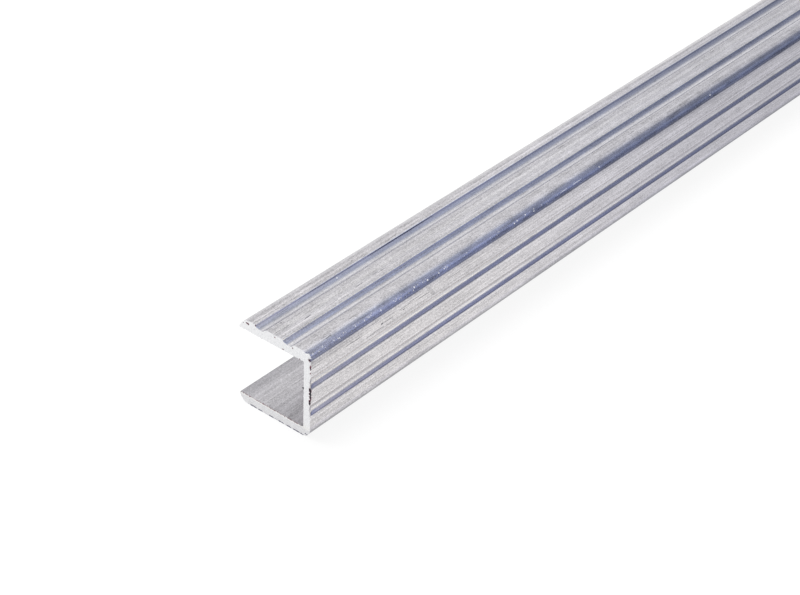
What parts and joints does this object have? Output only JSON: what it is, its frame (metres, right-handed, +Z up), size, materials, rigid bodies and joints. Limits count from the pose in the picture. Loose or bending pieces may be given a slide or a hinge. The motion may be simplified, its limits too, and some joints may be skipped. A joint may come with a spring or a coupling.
{
  "type": "aluminium u channel profile",
  "caption": "Slim U-shaped aluminium edge channel, open along one side to slip over the edge of a board, with grooves along the outside of its top flange and web.",
  "frame": {"origin": "on the floor plane, under the middle of the bar's bounding box", "axes": "+X along the bar towards its near end, slot opens towards -Y, web on the +Y side, +Z up with the grooved flange on top"},
  "size_m": [1, 0.0116, 0.0128],
  "materials": {
    "mill_finish": "plain mill finish with fine die lines along the bar and bare sawn ends"
  },
  "bodies": {
    "root": {"u_channel": "mill_finish"}
  },
  "joints": []
}
